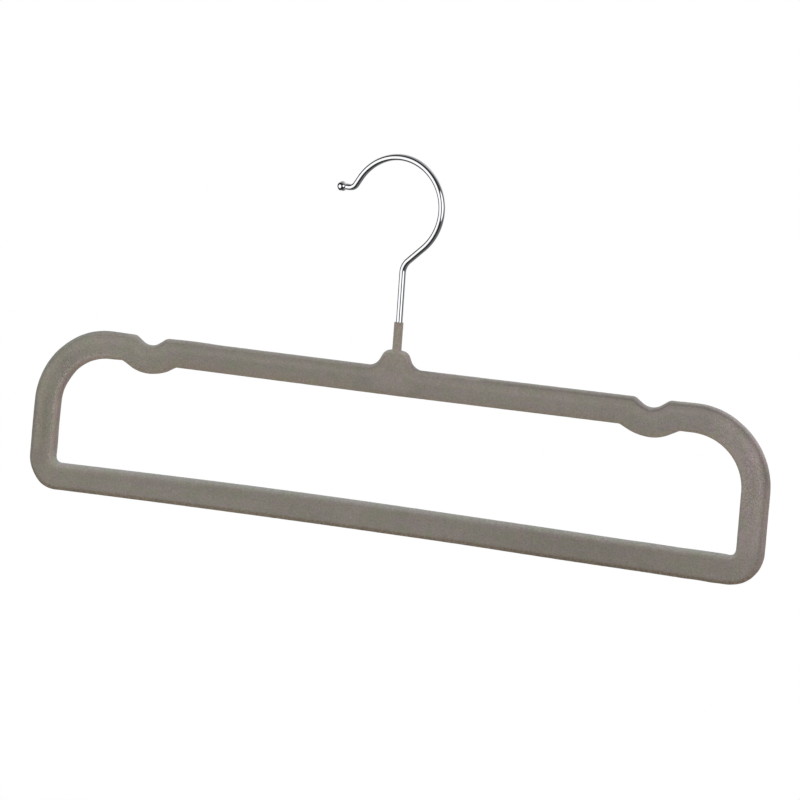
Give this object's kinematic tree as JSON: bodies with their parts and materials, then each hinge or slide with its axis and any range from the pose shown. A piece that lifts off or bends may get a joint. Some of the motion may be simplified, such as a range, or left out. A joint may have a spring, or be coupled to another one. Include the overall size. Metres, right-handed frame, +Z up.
{
  "type": "flocked trouser hanger",
  "caption": "Slim flocked loop hanger for trousers, with strap notches in the top bar and a chromed wire hook that swivels in its neck.",
  "frame": {"origin": "the point on the underside of the hook's top that sits on a rail", "axes": "+X along the loop's length, +Y through the loop to its rear face, +Z up along the swivel axis"},
  "size_m": [0.4107, 0.015, 0.2034],
  "materials": {
    "velvet": "short taupe nylon flock, matt with a soft sheen",
    "core_plastic": "moulded, matt, hidden under the flock",
    "chromed_wire": "bright chromed steel",
    "plain_steel": "plain turned steel",
    "nylon": "natural nylon"
  },
  "bodies": {
    "hook": {"hook_wire": "chromed_wire", "hook_ball_tip": "chromed_wire", "retaining_collar": "plain_steel", "thrust_washer": "nylon"},
    "loop": {"core_front_half": "core_plastic", "core_rear_half": "core_plastic", "velvet_cover": "velvet", "neck_sleeve": "velvet"}
  },
  "joints": [
    {"name": "hook_swivel", "type": "hinge", "parent": "hook", "child": "loop", "pos_m": [0.00795, -0.00142, -0.10375], "axis": [0, 0, 1], "continuous": true}
  ]
}
